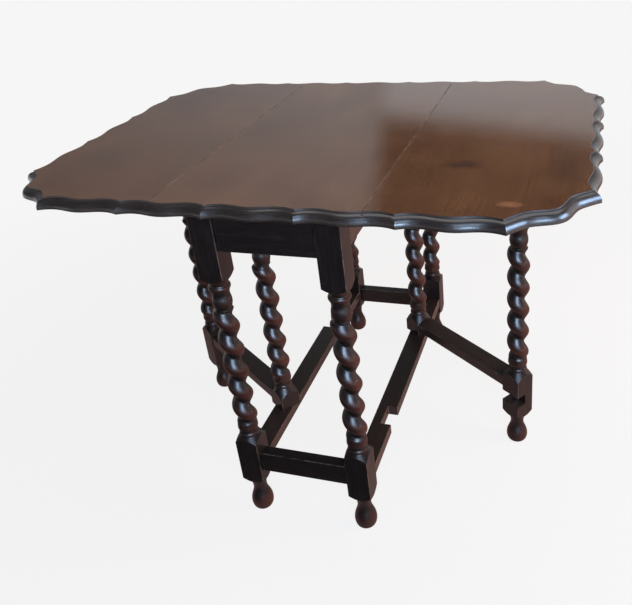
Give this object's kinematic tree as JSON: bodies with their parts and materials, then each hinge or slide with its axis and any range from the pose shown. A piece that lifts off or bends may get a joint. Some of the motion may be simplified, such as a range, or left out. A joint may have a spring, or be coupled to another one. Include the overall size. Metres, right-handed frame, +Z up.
{
  "type": "extending table",
  "caption": "Gate-leg extending table with drop leaves on rule joints, a scalloped moulded top and twist-turned legs.",
  "frame": {"origin": "on the floor under the middle of the open top", "axes": "+X across the raised leaves, +Y along the hinge lines, +Z up"},
  "size_m": [1.101, 0.798, 0.735],
  "materials": {
    "top_oak": "dark stained oak under a worn gloss varnish",
    "frame_oak": "near-black stained oak, glossy on the turnings",
    "hinge_iron": "dull dark iron",
    "screw_steel": "dulled steel"
  },
  "bodies": {
    "frame": {"centre_board": "top_oak", "front_right_leg": "frame_oak", "right_front_glue_block": "frame_oak", "back_right_leg": "frame_oak", "right_back_glue_block": "frame_oak", "front_end_apron": "frame_oak", "front_end_stretcher": "frame_oak", "right_side_apron": "frame_oak", "right_side_stretcher": "frame_oak", "right_front_hinge_fixed_flap": "hinge_iron", "right_front_hinge_pin": "screw_steel", "right_front_hinge_fixed_screw_1": "screw_steel", "right_front_hinge_fixed_screw_2": "screw_steel", "right_back_hinge_fixed_flap": "hinge_iron", "right_back_hinge_pin": "screw_steel", "right_back_hinge_fixed_screw_1": "screw_steel", "right_back_hinge_fixed_screw_2": "screw_steel", "back_left_leg": "frame_oak", "left_back_glue_block": "frame_oak", "front_left_leg": "frame_oak", "left_front_glue_block": "frame_oak", "back_end_apron": "frame_oak", "back_end_stretcher": "frame_oak", "left_side_apron": "frame_oak", "left_side_stretcher": "frame_oak", "left_back_hinge_fixed_flap": "hinge_iron", "left_back_hinge_pin": "screw_steel", "left_back_hinge_fixed_screw_1": "screw_steel", "left_back_hinge_fixed_screw_2": "screw_steel", "left_front_hinge_fixed_flap": "hinge_iron", "left_front_hinge_pin": "screw_steel", "left_front_hinge_fixed_screw_1": "screw_steel", "left_front_hinge_fixed_screw_2": "screw_steel"},
    "right_leaf": {"right_leaf": "top_oak", "right_gate_stop": "frame_oak", "right_front_hinge_leaf_flap": "hinge_iron", "right_front_hinge_leaf_screw_1": "screw_steel", "right_front_hinge_leaf_screw_2": "screw_steel", "right_back_hinge_leaf_flap": "hinge_iron", "right_back_hinge_leaf_screw_1": "screw_steel", "right_back_hinge_leaf_screw_2": "screw_steel"},
    "left_leaf": {"left_leaf": "top_oak", "left_gate_stop": "frame_oak", "left_back_hinge_leaf_flap": "hinge_iron", "left_back_hinge_leaf_screw_1": "screw_steel", "left_back_hinge_leaf_screw_2": "screw_steel", "left_front_hinge_leaf_flap": "hinge_iron", "left_front_hinge_leaf_screw_1": "screw_steel", "left_front_hinge_leaf_screw_2": "screw_steel"},
    "right_gate": {"right_pivot_post": "frame_oak", "right_gate_leg": "frame_oak", "right_gate_upper_rail": "frame_oak", "right_gate_lower_rail": "frame_oak"},
    "left_gate": {"left_pivot_post": "frame_oak", "left_gate_leg": "frame_oak", "left_gate_upper_rail": "frame_oak", "left_gate_lower_rail": "frame_oak"}
  },
  "joints": [
    {"name": "right_leaf_lift", "type": "hinge", "parent": "frame", "child": "right_leaf", "pos_m": [0.1945, 0, 0.7175], "axis": [0, -1, 0], "range_deg": [0, 1]},
    {"name": "left_leaf_lift", "type": "hinge", "parent": "frame", "child": "left_leaf", "pos_m": [-0.1945, 0, 0.7175], "axis": [0, 1, 0], "range_deg": [0, 1]},
    {"name": "right_gate_swing", "type": "hinge", "parent": "frame", "child": "right_gate", "pos_m": [0.1266, 0.172, 0.4], "axis": [0, 0, 1], "range_deg": [-53.4, 0]},
    {"name": "left_gate_swing", "type": "hinge", "parent": "frame", "child": "left_gate", "pos_m": [-0.1086, -0.172, 0.4], "axis": [0, 0, 1], "range_deg": [-55.5, 0]}
  ]
}
